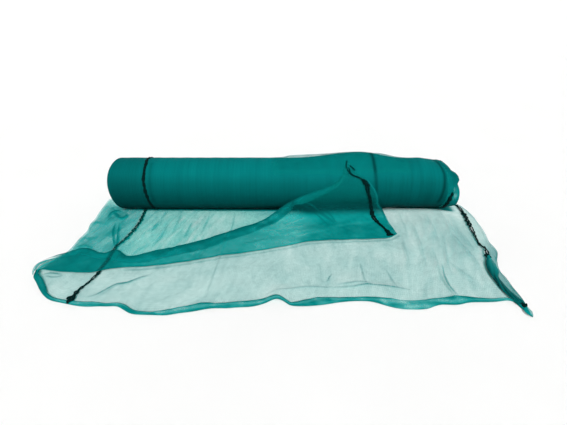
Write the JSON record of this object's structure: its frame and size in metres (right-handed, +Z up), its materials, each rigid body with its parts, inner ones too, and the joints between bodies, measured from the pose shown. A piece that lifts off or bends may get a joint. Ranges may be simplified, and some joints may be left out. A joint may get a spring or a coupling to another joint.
{
  "type": "roll of scaffold netting",
  "caption": "Roll of green scaffold netting folded lengthwise, with black eyelet tapes, its hemmed loose end drawn out over the floor and turned back up the roll.",
  "frame": {"origin": "middle of the flat spot that the roll rests on, on the floor", "axes": "+X along the roll, to the right seen from the loose end; +Y away from the loose end; +Z up"},
  "size_m": [1.1977, 0.5154, 0.1671],
  "materials": {
    "net": "sheer knitted polyethylene net, teal green",
    "tape": "matt black knitted tape"
  },
  "bodies": {
    "root": {"roll": "net", "loose_end": "net", "tape_middle_floor": "tape", "tape_edge_floor": "tape", "tape_flap": "tape", "tape_middle_roll": "tape", "tape_edge_front": "tape", "tape_edge_back": "tape"}
  },
  "joints": []
}
